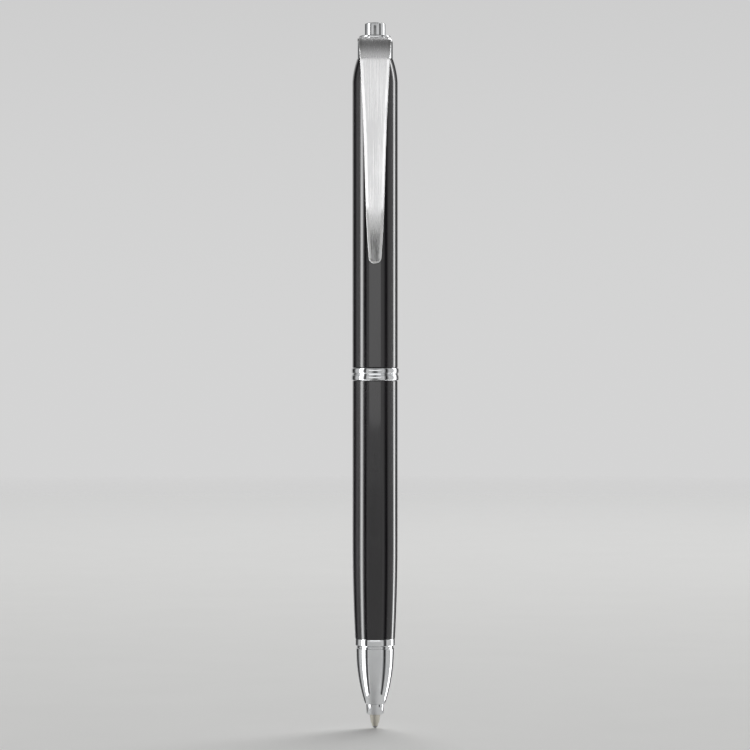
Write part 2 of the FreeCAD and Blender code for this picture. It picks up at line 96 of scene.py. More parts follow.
def rounded(points):
    """Closed outline of (r, z) points; a third number rounds that corner with an arc of that radius."""
    made = []
    count = len(points)
    for i, point in enumerate(points):
        here = Vector(point[:2])
        if len(point) < 3:
            made.append(here)
            continue
        back = (Vector(points[i - 1][:2]) - here).normalized()
        on = (Vector(points[(i + 1) % count][:2]) - here).normalized()
        half = back.angle(on) / 2
        reach = point[2] / math.tan(half)
        centre = here + (back + on).normalized() * (point[2] / math.sin(half))
        start, end = here + back * reach - centre, here + on * reach - centre
        sweep = start.angle(end)
        for k in range(ROUND_STEPS + 1):
            t = k / ROUND_STEPS
            a, b = math.sin((1 - t) * sweep), math.sin(t * sweep)
            made.append(centre + (start * a + end * b) / math.sin(sweep))
    return made


def bowed(start, end, bow, steps):
    """Points between start and end on a line bowed outwards by bow, without the two ends."""
    a, b = Vector(start), Vector(end)
    side = Vector((b - a).orthogonal()).normalized()
    if side.x < 0:
        side = -side
    made = []
    for k in range(1, steps):
        t = k / steps
        point = a.lerp(b, t) + side * (4 * bow * t * (1 - t))
        made.append((point.x, point.y))
    return made


def subdivided(points, longest):
    """The same closed outline with its long runs divided, so that no face is much longer than longest."""
    made = []
    for i, here in enumerate(points):
        after = points[(i + 1) % len(points)]
        pieces = max(1, math.ceil((after - here).length / longest))
        made += [here.lerp(after, k / pieces) for k in range(pieces)]
    return made


def half_circle(radius, centre, steps):
    """The outline of a ball: from its lowest point out and up to its highest, both exactly on the axis."""
    made = []
    for k in range(steps + 1):
        angle = math.pi * k / steps
        made.append(Vector((radius * math.sin(angle), centre - radius * math.cos(angle))))
    made[0].x = made[-1].x = 0.0
    return made


def new_piece(name, vertices, faces):
    mesh = bpy.data.meshes.new(name)
    mesh.from_pydata([Vector(v) * MM for v in vertices], [], faces)
    mesh.validate()
    bm = bmesh.new()
    bm.from_mesh(mesh)
    bmesh.ops.recalc_face_normals(bm, faces=bm.faces)
    for face in bm.faces:
        face.smooth = True
    bm.to_mesh(mesh)
    bm.free()
    piece = bpy.data.objects.new(name, mesh)
    bpy.context.scene.collection.objects.link(piece)
    return piece


def weighted(piece):
    """Normals follow the large faces, so that flats look flat and only the rounded corners turn the light."""
    modifier = piece.modifiers.new("weighted_normals", "WEIGHTED_NORMAL")
    modifier.keep_sharp = True
    modifier.weight = 60
    return piece


def turned(name, outline, longest=4.0, steps=TURN_STEPS, ripple=None):
    """A closed outline turned round Z. ripple(r, z, angle) may move a point in or out, as a thread does."""
    points = subdivided([Vector(p) for p in outline], longest)
    vertices, rings = [], []
    for r, z in points:
        if r < 1e-6:
            rings.append([len(vertices)] * steps)
            vertices.append((0, 0, z))
            continue
        rings.append(list(range(len(vertices), len(vertices) + steps)))
        for k in range(steps):
            angle = math.tau * k / steps
            radius = ripple(r, z, angle) if ripple else r
            vertices.append((radius * math.cos(angle), radius * math.sin(angle), z))
    faces = []
    for i, ring in enumerate(rings):
        after = rings[(i + 1) % len(rings)]
        for k in range(steps):
            n = (k + 1) % steps
            corners = [ring[k], ring[n], after[n], after[k]]
            corners = list(dict.fromkeys(corners))
            if len(corners) > 2:
                faces.append(corners)
    return weighted(new_piece(name, vertices, faces))


def tube_along(name, path, radius, sides):
    """A round wire along a line of points, closed at both ends."""
    vertices, faces = [], []
    for i, point in enumerate(path):
        ahead = path[min(i + 1, len(path) - 1)] - path[max(i - 1, 0)]
        out = Vector((point.x, point.y, 0)).normalized()
        up = ahead.cross(out).normalized()
        for k in range(sides):
            angle = math.tau * k / sides
            vertices.append(point + (out * math.cos(angle) + up * math.sin(angle)) * radius)
    for i in range(len(path) - 1):
        for k in range(sides):
            n = (k + 1) % sides
            faces.append([i * sides + k, i * sides + n, (i + 1) * sides + n, (i + 1) * sides + k])
    last = (len(path) - 1) * sides
    faces.append(list(range(sides)))
    faces.append([last + k for k in range(sides)])
    return new_piece(name, vertices, faces)


def place(piece, body, slot, material, *nodes):
    """The piece rides on a body, stands for these CAD nodes and takes this material. The slot is not used."""
    piece.data.materials.append(material)
    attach(piece, body)
    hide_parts(*nodes)
    return piece


# ---- materials -------------------------------------------------------------------------------------------
class Finish:
    """A Principled material with helpers for the textures that feed it."""

    def __init__(self, name, colour, metallic, roughness):
        self.material = bpy.data.materials.new(name)
        self.material.use_nodes = True
        self.nodes = self.material.node_tree.nodes
        self.links = self.material.node_tree.links
        self.shader = self.nodes["Principled BSDF"]
        self.shader.inputs["Base Color"].default_value = (*colour, 1)
        self.shader.inputs["Metallic"].default_value = metallic
        self.shader.inputs["Roughness"].default_value = roughness
        self.place = self.nodes.new("ShaderNodeTexCoord").outputs["Object"]

    def math(self, operation, a, b=None):
        node = self.nodes.new("ShaderNodeMath")
        node.operation = operation
        for socket, value in zip(node.inputs, (a, b)):
            if value is None:
                continue
            if isinstance(value, (int, float)):
                socket.default_value = value
            else:
                self.links.new(value, socket)
        return node.outputs[0]

    def stretched(self, scale):
        """Object coordinates scaled by (x, y, z), in features per metre."""
        node = self.nodes.new("ShaderNodeMapping")
        self.links.new(self.place, node.inputs["Vector"])
        node.inputs["Scale"].default_value = scale
        return node.outputs[0]

    def round_axis(self, along, across):
        """Coordinates that run round the axis: along features per metre of height, across per radian."""
        split = self.nodes.new("ShaderNodeSeparateXYZ")
        self.links.new(self.place, split.inputs[0])
        angle = self.math("ARCTAN2", split.outputs["Y"], split.outputs["X"])
        radius = self.math("POWER", split.outputs["X"], 2)
        radius = self.math("ADD", radius, self.math("POWER", split.outputs["Y"], 2))
        radius = self.math("SQRT", radius)
        join = self.nodes.new("ShaderNodeCombineXYZ")
        self.links.new(self.math("MULTIPLY", angle, across), join.inputs["X"])
        self.links.new(self.math("MULTIPLY", radius, along), join.inputs["Y"])
        self.links.new(self.math("MULTIPLY", split.outputs["Z"], along), join.inputs["Z"])
        return join.outputs[0]

    def noise(self, vector, scale=1.0, detail=3.0, rough=0.55):
        node = self.nodes.new("ShaderNodeTexNoise")
        self.links.new(vector, node.inputs["Vector"])
        node.inputs["Scale"].default_value = scale
        node.inputs["Detail"].default_value = detail
        node.inputs["Roughness"].default_value = rough
        return node.outputs["Fac"]

    def spread(self, value, low, high, to_low, to_high):
        """Maps low..high to to_low..to_high, clamped."""
        node = self.nodes.new("ShaderNodeMapRange")
        self.links.new(value, node.inputs["Value"])
        for name, number in (("From Min", low), ("From Max", high), ("To Min", to_low), ("To Max", to_high)):
            node.inputs[name].default_value = number
        return node.outputs["Result"]

    def mixed(self, value, colour_a, colour_b):
        node = self.nodes.new("ShaderNodeMix")
        node.data_type = "RGBA"
        self.links.new(value, node.inputs["Factor"])
        node.inputs[6].default_value = (*colour_a, 1)
        node.inputs[7].default_value = (*colour_b, 1)
        return node.outputs[2]

    def feed(self, name, value):
        self.links.new(value, self.shader.inputs[name])

    def bump(self, *heights):
        """Bumps from (height value, depth in metres) pairs, one on top of the other."""
        normal = None
        for height, depth in heights:
            node = self.nodes.new("ShaderNodeBump")
            node.inputs["Distance"].default_value = depth
            self.links.new(height, node.inputs["Height"])
            if normal is not None:
                self.links.new(normal, node.inputs["Normal"])
            normal = node.outputs["Normal"]
        self.links.new(normal, self.shader.inputs["Normal"])


def lacquer():
    """Black gloss lacquer over brass: a faint orange peel, haze from handling and hairline scratches."""
    f = Finish("black_lacquer", (0.006, 0.005, 0.007), 0.0, 0.22)
    haze = f.noise(f.stretched((90, 90, 45)), detail=4)
    hairs = f.noise(f.stretched((2600, 2600, 160)), detail=2)
    peel = f.noise(f.stretched((900, 900, 900)), detail=1)
    hazy = f.spread(haze, 0.35, 0.75, 0.14, 0.3)
    scratched = f.spread(hairs, 0.66, 0.8, 0, 0.2)
    f.feed("Roughness", f.math("ADD", hazy, scratched))
    black, worn_black = (0.005, 0.0042, 0.006), (0.012, 0.0095, 0.0125)
    f.feed("Base Color", f.mixed(f.spread(haze, 0.3, 0.8, 0, 1), black, worn_black))
    f.bump((peel, 2.2e-6), (hairs, 6e-7))
    hazy = f.spread(haze, 0.4, 0.8, 0.02, 0.09)
    scratched = f.spread(hairs, 0.68, 0.8, 0, 0.12)
    f.feed("Coat Roughness", f.math("ADD", hazy, scratched))
    f.shader.inputs["Specular IOR Level"].default_value = 0.25
    f.shader.inputs["Coat Weight"].default_value = 1.0
    f.shader.inputs["Coat IOR"].default_value = 1.55
    return f.material


def turned_metal(name, bright, dark, roughness, marks):
    """Metal finished on a lathe: fine rings round the axis, of strength marks, smudges and tiny specks."""
    f = Finish(name, bright, 1.0, roughness)
    rings = f.noise(f.round_axis(9000, 1.2), detail=2)
    smudge = f.noise(f.stretched((260, 260, 200)), detail=4)
    specks = f.noise(f.stretched((3500, 3500, 3500)), detail=1)
    ringed = f.spread(rings, 0.3, 0.7, 0, marks)
    smudged = f.spread(smudge, 0.45, 0.75, roughness, roughness + 0.09)
    rough = f.math("ADD", ringed, smudged)
    f.feed("Roughness", f.math("ADD", rough, f.spread(specks, 0.7, 0.8, 0, 0.15)))
    f.feed("Base Color", f.mixed(f.spread(smudge, 0.35, 0.8, 0, 1), bright, dark))
    f.bump((rings, 1.5e-6 * (0.3 + 4 * marks)))
    return f.material


def strap_metal(name, bright, dark, roughness):
    """Satin plate drawn along its length: long fine lines, soft cloudiness and a few deeper scratches."""
    f = Finish(name, bright, 1.0, roughness)
    lines = f.noise(f.stretched((7000, 900, 110)), detail=3, rough=0.6)
    cloud = f.noise(f.stretched((320, 320, 90)), detail=3)
    nicks = f.noise(f.stretched((1700, 1700, 260)), detail=2)
    drawn = f.spread(lines, 0.3, 0.7, -0.04, 0.07)
    clouded = f.spread(cloud, 0.35, 0.75, roughness, roughness + 0.1)
    rough = f.math("ADD", drawn, clouded)
    f.feed("Roughness", f.math("ADD", rough, f.spread(nicks, 0.7, 0.82, 0, 0.2)))
    f.feed("Base Color", f.mixed(f.spread(lines, 0.25, 0.75, 0, 1), bright, dark))
    f.bump((lines, 7e-7), (nicks, 1e-6))
    return f.material


def moulded(name, colour, shade, roughness):
    """Moulded acetal: a fine dull skin with flow marks."""
    f = Finish(name, colour, 0.0, roughness)
    skin = f.noise(f.stretched((5200, 5200, 5200)), detail=2)
    flow = f.noise(f.stretched((420, 420, 140)), detail=3)
    f.feed("Roughness", f.spread(skin, 0.3, 0.7, roughness, roughness + 0.12))
    f.feed("Base Color", f.mixed(f.spread(flow, 0.3, 0.75, 0, 1), colour, shade))
    f.bump((skin, 4e-6))
    f.shader.inputs["IOR"].default_value = 1.48
    return f.material


def ink_material():
    """Dense blue-black ink, wet and glossy."""
    f = Finish("ink", (0.004, 0.005, 0.03), 0.0, 0.08)
    wet = f.noise(f.stretched((600, 600, 120)), detail=2)
    f.feed("Roughness", f.spread(wet, 0.3, 0.7, 0.05, 0.16))
    f.feed("Base Color", f.mixed(wet, (0.003, 0.004, 0.02), (0.006, 0.008, 0.05)))
    f.bump((wet, 3e-6))
    return f.material


LACQUER = lacquer()
CHROME = turned_metal("chrome_trim", (0.80, 0.81, 0.82), (0.70, 0.71, 0.73), 0.05, 0.03)
CLIP_METAL = strap_metal("clip_steel", (0.86, 0.86, 0.86), (0.82, 0.82, 0.83), 0.23)
CLIP_BEVEL = turned_metal("clip_bevel", (0.8, 0.8, 0.8), (0.75, 0.75, 0.76), 0.1, 0.03)
SPRING_STEEL = turned_metal("spring_steel", (0.58, 0.58, 0.6), (0.42, 0.42, 0.45), 0.22, 0.05)
BRASS = turned_metal("brass", (0.80, 0.58, 0.27), (0.66, 0.46, 0.2), 0.16, 0.06)
NICKEL = turned_metal("nickel", (0.72, 0.69, 0.62), (0.6, 0.57, 0.5), 0.14, 0.1)
CARBIDE = turned_metal("carbide", (0.42, 0.42, 0.44), (0.33, 0.33, 0.36), 0.1, 0.03)
REFILL_METAL = strap_metal("refill_metal", (0.74, 0.74, 0.75), (0.62, 0.62, 0.64), 0.16)
BLACK_ACETAL = moulded("acetal_black", (0.03, 0.03, 0.033), (0.018, 0.018, 0.02), 0.38)
WHITE_ACETAL = moulded("acetal_white", (0.78, 0.78, 0.75), (0.68, 0.68, 0.64), 0.42)
INK = ink_material()


# ---- barrel, ring and nose -------------------------------------------------------------------------------
def lower_barrel():
    """Straight near the joint, then narrowing more and more towards the nose."""
    radius, low, high = node_mm("lower_barrel")
    straight, thread, socket = 30.0, 6.5, 9.0
    bevel = 0.2
    straight_end = high - straight
    steps = 14
    taper = []
    for k in range(steps):
        t = k / steps
        taper.append((radius - (radius - LOWER_END_R) * t ** 2, straight_end + (low - straight_end) * t))
    outline = rounded([
        (JOINT_BORE_R, high, 0.05),
        (radius, high, 0.16),
        *taper,
        (LOWER_END_R, low, 0.07),
        (THREAD_BORE_R, low, 0.05),
        (THREAD_BORE_R, low + thread),
        (LOWER_BORE_R, low + thread + bevel),
        (LOWER_BORE_R, high - socket - bevel),
        (JOINT_BORE_R, high - socket),
    ])
    return turned("lower_barrel_shell", outline)


def upper_barrel():
    """Straight, with a rounded shoulder under the collar."""
    radius, low, high = node_mm("upper_barrel")
    shoulder_length, neck_length = 4.4, 5.4
    shoulder = high - shoulder_length
    steps = 12
    rounding = []
    for k in range(steps):
        t = k / steps
        narrowing = (radius - UPPER_END_R) * (0.25 * t + 0.75 * t * t)
        rounding.append((radius - narrowing, shoulder + (high - shoulder) * t))
    outline = rounded([
        (JOINT_BORE_R, low, 0.05),
        (radius, low, 0.16),
        *rounding,
        (UPPER_END_R, high, 0.06),
        (SHANK_BORE_R, high, 0.04),
        (SHANK_BORE_R, high - neck_length),
        (JOINT_BORE_R, high - neck_length),
    ])
    return turned("upper_barrel_shell", outline)


def centre_ring():
    """Bright ring with two crowned bands and a groove between them."""
    radius, low, high = node_mm("centre_ring")
    middle = (low + high) / 2
    crown, groove_r = 0.05, radius - 0.17
    lip, bed = 0.22, 0.11
    band_middle = 0.2
    outline = rounded([
        (JOINT_BORE_R, low, 0.04),
        (radius - crown, low, 0.18),
        (radius, (low + middle - band_middle) / 2, 1.2),
        (radius - crown, middle - lip, 0.06),
        (groove_r, middle - bed, 0.05),
        (groove_r, middle + bed, 0.05),
        (radius - crown, middle + lip, 0.06),
        (radius, (high + middle + band_middle) / 2, 1.2),
        (radius - crown, high, 0.18),
        (JOINT_BORE_R, high, 0.04),
    ])
    return turned("centre_ring_band", outline, longest=0.5)


def nose_cone():
    """A short straight snout, a bowed cone, a groove, a band level with the barrel and a shank inside it."""
    _, low, _ = node_mm("nose_cone")
    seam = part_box("lower_barrel")[0].z / MM
    band_r, shank_length, bore_end = 3.77, 5.5, low + 6.4
    bow = bowed((1.98, low + 2.2), (3.6, seam - 1.9), 0.42, 18)
    outline = rounded([
        (NOSE_HOLE_R, low, 0.05),
        (1.58, low, 0.22),
        (1.72, low + 1.98, 0.06),
        (1.94, low + 2.12, 0.06),
        *bow,
        (3.62, seam - 1.85, 0.07),
        (3.49, seam - 1.72, 0.04),
        (3.49, seam - 1.38, 0.04),
        (band_r, seam - 1.22, 0.08),
        (band_r, seam, 0.07),
        (NOSE_SHANK_R, seam),
        (NOSE_SHANK_R, seam + shank_length, 0.05),
        (SPRING_BORE_R, seam + shank_length),
        (SPRING_BORE_R, bore_end),
        (NOSE_HOLE_R, bore_end),
    ])
    return turned("nose_cone_tip", outline, longest=2.0)


def joint_bush():
    """Threaded bush: a helical ridge of 0.75 mm pitch below, a plain press fit above."""
    _, low, high = node_mm("joint_bush")
    pitch, root, crest = 0.75, 3.3, 3.5
    first, last = low + 0.9, -1.1
    row = 0.05
    rows = int((0 - low - 0.4) / row)

    def ridge(r, z, angle):
        if abs(r - root) > 1e-3 or not first < z < last:
            return r
        phase = ((z - first) / pitch - angle / math.tau) % 1.0
        height = max(0.0, min(1.0, (0.38 - abs(phase - 0.5)) / 0.26))
        fade = min(1.0, (z - first) / pitch, (last - z) / pitch)
        return r + (crest - root) * height * fade

    outline = rounded([
        (BUSH_BORE_R, low, 0.04),
        (root, low, 0.12),
        *[(root, low + 0.3 + k * row) for k in range(rows)],
        (root, 0.0),
        (3.49, 0.0, 0.03),
        (3.49, 2.4),
        (3.545, 2.42),
        (3.545, high),
        (BUSH_BORE_R, high, 0.04),
    ])
    return turned("joint_bush_thread", outline, longest=3.0, ripple=ridge)


# ---- crown and button ------------------------------------------------------------------------------------
def clip_collar():
    radius, low, high = node_mm("clip_collar")
    outline = rounded([
        (SHANK_BORE_R, low, 0.03),
        (radius, low, 0.14),
        (radius, high, 0.24),
        (SHANK_BORE_R, high, 0.03),
    ])
    return turned("clip_collar_sleeve", outline, longest=1.0)


def crown_nut():
    radius, low, high = node_mm("crown_nut")
    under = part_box("clip_ring")[1].z / MM
    guide_r, shank_r = 2.64, 2.84
    guide_length = 5.2
    outline = rounded([
        (CROWN_BORE_R, low, 0.04),
        (guide_r, low, 0.06),
        (guide_r, low + guide_length),
        (shank_r, low + guide_length + 0.05),
        (shank_r, under),
        (radius, under, 0.03),
        (radius, high, 0.2),
        (2.3, high, 0.09),
        (CROWN_BORE_R, high - 0.28, 0.09),
    ])
    return turned("crown_nut_head", outline, longest=0.8)


def push_button():
    """Drawn cap: straight wall, tight corner and a slightly domed top."""
    radius, low, high = node_mm("push_button")
    dome, sunk = 6.0, 0.01
    edge = radius - 0.02
    under = high - 1.15
    steps = 8
    top = []
    for k in range(steps + 1):
        r = edge * (1 - k / steps)
        top.append((r, high - dome + math.sqrt(dome ** 2 - r ** 2) - sunk))
    outline = rounded([
        (radius - BUTTON_WALL, low),
        (radius, low, 0.08),
        (radius, top[0][1] - 0.02, 0.14),
        *top[1:],
        (0.0, under),
        (radius - BUTTON_WALL, under),
    ])
    return turned("push_button_cap", outline, longest=1.0)


# ---- refill and spring -----------------------------------------------------------------------------------
def writing_tip():
    _, low, high = node_mm("writing_tip")
    outer_r, ink_bore_r = 1.09, 0.31
    outline = rounded([
        (0.44, low + 0.02),
        (0.56, low, 0.05),
        (0.66, low + 0.5, 0.1),
        (0.78, low + 0.62, 0.08),
        (outer_r, low + 2.5, 0.3),
        (outer_r, high),
        (ink_bore_r, high),
        (ink_bore_r, low + 0.4),
    ])
    return turned("writing_tip_cone", outline, longest=0.8, steps=96)


def writing_ball():
    """Carbide ball, turned from a half circle."""
    low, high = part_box("writing_ball")
    radius = (high.z - low.z) / 2 / MM
    centre = (high.z + low.z) / 2 / MM
    return turned("writing_ball_carbide", half_circle(radius, centre, 24), longest=1.0, steps=64)


def refill_tube():
    radius, low, high = node_mm("refill_tube")
    outline = rounded([
        (radius - TUBE_WALL, low),
        (radius, low, 0.06),
        (radius, high, 0.08),
        (radius - TUBE_WALL, high),
    ])
    return turned("refill_tube_body", outline)


def refill_neck():
    radius, low, high = node_mm("refill_neck")
    neck_r, neck_end = 1.6, low + 10.5
    flange_r, plug_r = 2.4, 2.69
    tip_bore_r, tip_bore_end = 1.11, low + 4.5
    ink_bore_r = 0.8
    outline = rounded([
        (tip_bore_r, low),
        (neck_r, low, 0.14),
        (neck_r, neck_end, 0.1),
        (flange_r, neck_end, 0.1),
        (flange_r, low + 13.1, 0.3),
        (radius, high - 3.0, 0.3),
        (plug_r, high - 2.99),
        (plug_r, high),
        (ink_bore_r, high),
        (ink_bore_r, tip_bore_end),
        (tip_bore_r, tip_bore_end),
    ])
    return turned("refill_neck_flange", outline, longest=1.5, steps=96)


def return_spring():
    """Round wire with a closed coil at each end."""
    wire, mean, turns = 0.2, 1.95, 10
    lowest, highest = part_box("return_spring")
    low = lowest.z / MM + wire
    high = highest.z / MM - wire
    closed = 2.1 * wire
    path = []
    steps = 40 * turns
    for i in range(steps + 1):
        t = turns * i / steps
        open_share = min(max(t - 1, 0), turns - 2) / (turns - 2)
        end_share = min(t, 1) + max(t - turns + 1, 0)
        z = low + closed * end_share + (high - low - 2 * closed) * open_share
        path.append(Vector((mean * math.cos(math.tau * t), mean * math.sin(math.tau * t), z)))
    return tube_along("return_spring_wire", path, wire, 14)


# ---- clip ------------------------------------------------------------------------------------------------
STRAP_T = 0.6
STRAP_BEND_R = 4.6
STRAP_LEAN = math.radians(1.4)
STRAP_END_LEAN = math.radians(13.6)
STRAP_TIP_R = 1.2
STRAP_WIDTHS = (          # (drop below the strap's top, half its width there)
    (0.0, STRAP_HALF), (1.2, 3.04), (4.6, 2.81), (8.0, 2.64), (15.0, 2.28),
    (23.0, 2.0), (31.0, 1.76), (37.0, 1.5), (41.8, 1.2),
)


def strap_line():
    """The strap's outer face from the side, root to tip: (y, z, lean of its normal) for each point."""
    low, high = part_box("clip_arm")
    tip_z, top = low.z / MM, high.z / MM
    made = []
    bend_steps = 40
    for k in range(bend_steps + 1):
        turn = (math.pi / 2 + STRAP_LEAN) * k / bend_steps
        y = STRAP_ROOT_Y - STRAP_BEND_R * math.sin(turn)
        z = top - STRAP_BEND_R + STRAP_BEND_R * math.cos(turn)
        made.append((y, z, math.pi / 2 - turn))
    bend_from, bend_to = 34.5, 26.0
    long_step, short_step, near_tip = 0.35, 0.08, 2.2
    while z > tip_z + 1e-6:
        drop = min(long_step if z > tip_z + near_tip else short_step, z - tip_z)
        share = min(max((bend_from - z) / (bend_from - bend_to), 0), 1)
        lean = STRAP_LEAN + (STRAP_END_LEAN - STRAP_LEAN) * share * share * (3 - 2 * share)
        y += drop * math.tan(lean)
        z -= drop
        made.append((y, z, -lean))
    return made


def strap_half_width(drop):
    """Half the strap's width, drop mm below its top: a smooth line through STRAP_WIDTHS."""
    for (x0, w0), (x1, w1) in zip(STRAP_WIDTHS, STRAP_WIDTHS[1:]):
        if drop <= x1:
            break
    i = STRAP_WIDTHS.index((x0, w0))

    def slope(k):
        a = STRAP_WIDTHS[max(k - 1, 0)]
        b = STRAP_WIDTHS[min(k + 1, len(STRAP_WIDTHS) - 1)]
        return (b[1] - a[1]) / (b[0] - a[0])

    span = x1 - x0
    t = (min(drop, x1) - x0) / span
    return (
        (2 * t ** 3 - 3 * t ** 2 + 1) * w0
        + (t ** 3 - 2 * t ** 2 + t) * span * slope(i)
        + (3 * t ** 2 - 2 * t ** 3) * w1
        + (t ** 3 - t ** 2) * span * slope(i + 1)
    )


def strap():
    """The clip's strap: a flat face with bevelled edges that run round the tip."""
    line = strap_line()
    top = line[0][1]
    length = top - line[-1][1]
    tip_centre = length - STRAP_TIP_R
    bevel, bevel_drop, edge = 0.52, 0.085, 0.1
    from_edge = [0.0, 0.025, 0.06, 0.1, 0.24, 0.4, 0.5, 0.54, 0.62]
    inner_shares = [0.7, 0.35, 0.0]
    narrow = 0.8              # where half the width is less, the rows along the edges close up
    vertices, rows = [], []

    def edge_distance(u, drop, half):
        if drop <= tip_centre:
            return half - abs(u)
        return STRAP_TIP_R - math.hypot(u, drop - tip_centre)

    for y, z, lean in line:
        drop = top - z
        half = strap_half_width(drop)
        if drop > tip_centre:
            half = math.sqrt(max(STRAP_TIP_R ** 2 - (drop - tip_centre) ** 2, 1e-4))
        out = Vector((0, -math.cos(lean), math.sin(lean)))
        shrink = min(1.0, half / narrow)
        right = [half - gap * shrink for gap in from_edge]
        right += [right[-1] * share for share in inner_shares]
        across = [-u for u in right] + right[-2::-1]
        face, back = [], []
        for u in across:
            inside = max(edge_distance(u, drop, half), 0.0)
            slope = max(0.0, 1 - inside / bevel)
            corner = max(0.0, 1 - inside / edge)
            raised = edge * (1 - math.sqrt(max(1 - corner ** 2, 0)))
            sunk = bevel_drop * slope + raised
            face.append(len(vertices))
            vertices.append(Vector((u, y, z)) - out * sunk)
            back.append(len(vertices))
            vertices.append(Vector((u, y, z)) - out * (STRAP_T - raised))
        rows.append((face, back))
    faces, bevelled = [], []
    last = len(across) - 1
    for i, ((face, back), (face2, back2)) in enumerate(zip(rows, rows[1:])):
        drop = top - line[i][1]
        for k in range(last):
            half = vertices[face[last]].x
            u = (vertices[face[k]].x + vertices[face[k + 1]].x) / 2
            if edge_distance(u, drop, half) < bevel:
                bevelled.append(len(faces))
            faces.append([face[k], face[k + 1], face2[k + 1], face2[k]])
            faces.append([back[k + 1], back[k], back2[k], back2[k + 1]])
        for side in (0, last):
            faces.append([face[side], face2[side], back2[side], back[side]])
    for face, back in (rows[0], rows[-1]):
        for k in range(last):
            faces.append([face[k], back[k], back[k + 1], face[k + 1]])
    piece = new_piece("clip_strap", vertices, faces)
    piece.data.materials.append(CLIP_METAL)
    piece.data.materials.append(CLIP_BEVEL)
    for i in bevelled:
        piece.data.polygons[i].material_index = 1
    return weighted(piece)


def pip():
    """The pressed pip behind the clip's tip: a shallow dome on the strap's inner face."""
    barrel_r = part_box("upper_barrel")[1].x / MM
    radius = 0.62
    gap, above_tip = 0.05, 2.6
    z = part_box("clip_arm")[0].z / MM + above_tip
    piece = turned("clip_pip", half_circle(radius, 0.0, 20), longest=1.0, steps=48)
    piece.data.transform(Matrix.Translation(Vector((0, -(barrel_r + radius + gap), z)) * MM))
    return piece


def clip_ring():
    """Flat ring round the crown's shank, as wide as the strap in front of the axis, with softened edges."""
    low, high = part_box("clip_ring")
    bottom, top = low.z / MM, high.z / MM
    outer, soft = 3.3, 0.06
    boundary = []
    steps = 96
    for k in range(steps):
        angle = math.tau * k / steps
        direction = Vector((math.cos(angle), math.sin(angle)))
        reach = outer
        if direction.y < 0:
            side = STRAP_HALF / max(abs(direction.x), 1e-9)
            ahead = STRAP_ROOT_Y / direction.y
            reach = min(side, max(ahead, outer))
        boundary.append((direction, reach))
    vertices, faces = [], []
    for direction, reach in boundary:
        for r, z in (
            (SHANK_BORE_R, bottom), (reach - soft, bottom), (reach, bottom + soft),
            (reach, top - soft), (reach - soft, top), (SHANK_BORE_R, top),
        ):
            vertices.append((direction.x * r, direction.y * r, z))
    sides = 6
    for k in range(steps):
        n = (k + 1) % steps
        for j in range(sides):
            m = (j + 1) % sides
            faces.append([k * sides + j, n * sides + j, n * sides + m, k * sides + m])
    return weighted(new_piece("clip_ring_plate", vertices, faces))


# ---- assembly --------------------------------------------------------------------------------------------
place(lower_barrel(), "lower_barrel", "black_lacquer", LACQUER, "lower_barrel")
place(nose_cone(), "lower_barrel", "chrome_trim", CHROME, "nose_cone")
place(upper_barrel(), "upper_barrel", "black_lacquer", LACQUER, "upper_barrel")
place(centre_ring(), "centre_ring", "chrome_trim", CHROME, "centre_ring")
place(joint_bush(), "upper_barrel", "brass", BRASS, "joint_bush")
place(clip_collar(), "upper_barrel", "chrome_trim", CHROME, "clip_collar")
place(crown_nut(), "upper_barrel", "chrome_trim", CHROME, "crown_nut")
place(clip_ring(), "upper_barrel", "clip_steel", CLIP_METAL, "clip_ring")
place(push_button(), "button", "chrome_trim", CHROME, "push_button")
place(writing_tip(), "refill", "nickel", NICKEL, "writing_tip")
place(writing_ball(), "writing_ball", "carbide", CARBIDE, "writing_ball")
place(refill_tube(), "refill", "refill_metal", REFILL_METAL, "refill_tube")
place(refill_neck(), "refill", "brass", BRASS, "refill_neck")

strap_piece = strap()
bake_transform(strap_piece)
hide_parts("clip_arm")
pip_piece = pip()
pip_piece.data.materials.append(CLIP_METAL)
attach(pip_piece, "clip")

spring_piece = return_spring()
spring_piece.data.materials.append(SPRING_STEEL)
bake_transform(spring_piece)
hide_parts("return_spring")

CARRIED = {
    "ink_column": ("ink", INK),
    "refill_plug": ("acetal_black", BLACK_ACETAL),
    "cam_sleeve": ("acetal_white", WHITE_ACETAL),
    "cam_rotor": ("acetal_black", BLACK_ACETAL),
    "plunger": ("acetal_white", WHITE_ACETAL),
}
for node, (slot, material) in CARRIED.items():
    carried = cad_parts[node]
    carried.data.materials.clear()
    carried.data.materials.append(material)


# ---- studio ----------------------------------------------------------------------------------------------
FLOOR_Z = CAD_BOUNDS[0].z - 0.00005     # just under the pen's lowest point
SKY = ((0.0, 0.66), (0.41, 0.45), (0.71, 0.3), (0.85, 0.21), (1.0, 0.13))    # (sine of elevation, radiance)
HORIZON = SKY[0][1]
SECTORS = (               # name, azimuth of the middle, half its width in degrees, glow
    ("left_bank", -70, 13, 8.0),
    ("right_bank", 112, 10, 7.0),
    ("left_dark", -49, 12, 0.0),
    ("right_dark", 56, 18, 0.0),
    ("rear_left_dark", -125, 30, 0.0),
    ("rear_right_dark", 145, 25, 0.0),
)
LENS, SENSOR = 150.0, 36.0
MARGIN = 1.06             # height of the picture over the height of the pen


def around(azimuth, reach, z):
    """The point at this azimuth in degrees, 0 in front and 90 to the right, at this distance from the pen."""
    angle = math.radians(azimuth)
    return Vector((reach * math.sin(angle), -reach * math.cos(angle), z))


